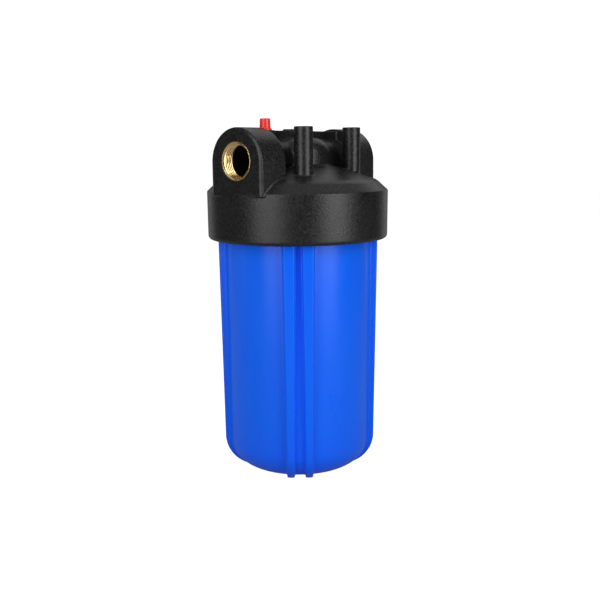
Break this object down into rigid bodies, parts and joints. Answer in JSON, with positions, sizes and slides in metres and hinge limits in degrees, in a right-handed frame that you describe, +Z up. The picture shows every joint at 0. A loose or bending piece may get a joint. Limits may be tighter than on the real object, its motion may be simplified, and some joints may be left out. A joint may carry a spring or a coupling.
{
  "type": "cartridge filter housing",
  "caption": "Water filter housing: round cap with two arched side ports and four mounting posts, ribbed screw-on bowl, pleated cartridge inside and a press-to-vent button.",
  "frame": {"origin": "centre of the base, on the housing's vertical axis, at the height of the rib feet", "axes": "+Z up along the housing's axis, X along the two ports with the inlet at -X"},
  "size_m": [0.184, 0.184, 0.3602],
  "materials": {
    "cap_plastic": "fine moulded texture",
    "bowl_plastic": "satin",
    "button_plastic": "gloss",
    "port_brass": "turned",
    "stainless": "satin",
    "seal_rubber": "matte",
    "cartridge_plastic": "smooth",
    "filter_media": "pleated nonwoven",
    "net_plastic": "smooth"
  },
  "bodies": {
    "cap": {"cap_head": "cap_plastic", "cap_standpipe": "cap_plastic", "inlet_port_insert": "port_brass", "outlet_port_insert": "port_brass"},
    "sump_seal": {"sump_oring": "seal_rubber"},
    "sump": {"sump_bowl": "bowl_plastic", "cartridge_core": "cartridge_plastic", "cartridge_media": "filter_media", "cartridge_outer_net": "net_plastic", "cartridge_top_end_cap": "cartridge_plastic", "cartridge_bottom_end_cap": "cartridge_plastic", "cartridge_top_gasket": "seal_rubber", "cartridge_bottom_gasket": "seal_rubber"},
    "relief_valve": {"relief_button": "button_plastic", "relief_screw": "stainless", "relief_valve_seal": "seal_rubber", "relief_spring": "stainless"}
  },
  "joints": [
    {"name": "sump_drop", "type": "slide", "parent": "cap", "child": "sump_seal", "axis": [0, 0, -1], "range_m": [0, 0.024]},
    {"name": "sump_turn", "type": "hinge", "parent": "sump_seal", "child": "sump", "pos_m": [0, 0, 0.265], "axis": [0, 0, -1], "range_deg": [0, 1080]},
    {"name": "relief_press", "type": "slide", "parent": "cap", "child": "relief_valve", "axis": [0, 0, -1], "range_m": [0, 0.0025], "stiffness_N_per_m": 800, "springref_m": -0.003, "deforming": ["relief_spring"]}
  ],
  "couplings": [
    {"joint": "sump_drop", "follows": "sump_turn", "m_per_rad": 0.0012732}
  ]
}
